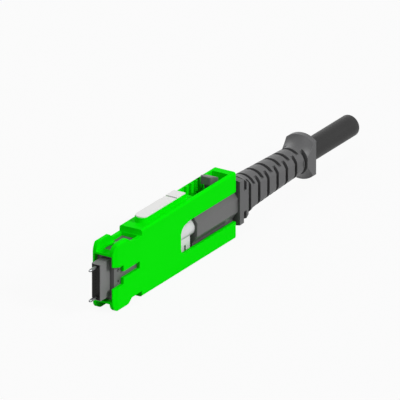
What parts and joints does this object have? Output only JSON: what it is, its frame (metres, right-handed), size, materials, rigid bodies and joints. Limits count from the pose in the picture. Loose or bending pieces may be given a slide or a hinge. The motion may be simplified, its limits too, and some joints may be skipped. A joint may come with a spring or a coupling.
{
  "type": "fibre test cable",
  "caption": "Slim push-pull multi-fibre test cable plug: green housing with side windows, steel guide pins, grooved pull boot and a round dark cable.",
  "frame": {"origin": "centre of the ferrule's end face, on the plug's long axis", "axes": "+X back along the plug to the cable, +Z to the key side, -Y to the side nearest the camera in the picture"},
  "size_m": [0.0807, 0.0052, 0.0128],
  "materials": {
    "green_shell": "satin moulded",
    "dark_plastic": "matt moulded",
    "light_plastic": "matt moulded",
    "ferrule_resin": "fine matt, polished end face",
    "pin_steel": "ground",
    "keeper_metal": "stamped",
    "soft_sleeve": "matt",
    "fibre_coating": "satin",
    "spring_steel": "drawn wire",
    "crimp_shell": "satin",
    "crimp_metal": "plain",
    "boot_elastomer": "matt moulded",
    "jacket": "satin extruded",
    "yarn": "fibrous",
    "core_buffer": "satin"
  },
  "bodies": {
    "plug": {"outer_housing": "green_shell", "inner_housing": "dark_plastic", "polarity_key": "light_plastic", "key_block": "light_plastic", "crimp_body": "crimp_shell", "crimp_ring": "crimp_metal", "spring_upper": "spring_steel", "spring_lower": "spring_steel", "cable_jacket": "jacket", "aramid_yarn": "yarn", "fibre_core": "core_buffer"},
    "ferrule_set": {"ferrule": "ferrule_resin", "guide_pin_upper": "pin_steel", "guide_pin_lower": "pin_steel", "pin_keeper": "keeper_metal", "ferrule_sleeve": "soft_sleeve", "fibre_ribbon": "fibre_coating"},
    "puller": {"boot_carrier": "dark_plastic", "catch_block": "dark_plastic", "pull_boot": "boot_elastomer"}
  },
  "joints": [
    {"name": "ferrule_float", "type": "slide", "parent": "plug", "child": "ferrule_set", "axis": [1, 0, 0], "range_m": [0, 0.0008], "stiffness_N_per_m": 600, "deforming": ["spring_upper", "spring_lower"]},
    {"name": "boot_pull", "type": "slide", "parent": "plug", "child": "puller", "axis": [1, 0, 0], "range_m": [0, 0.0012]}
  ]
}
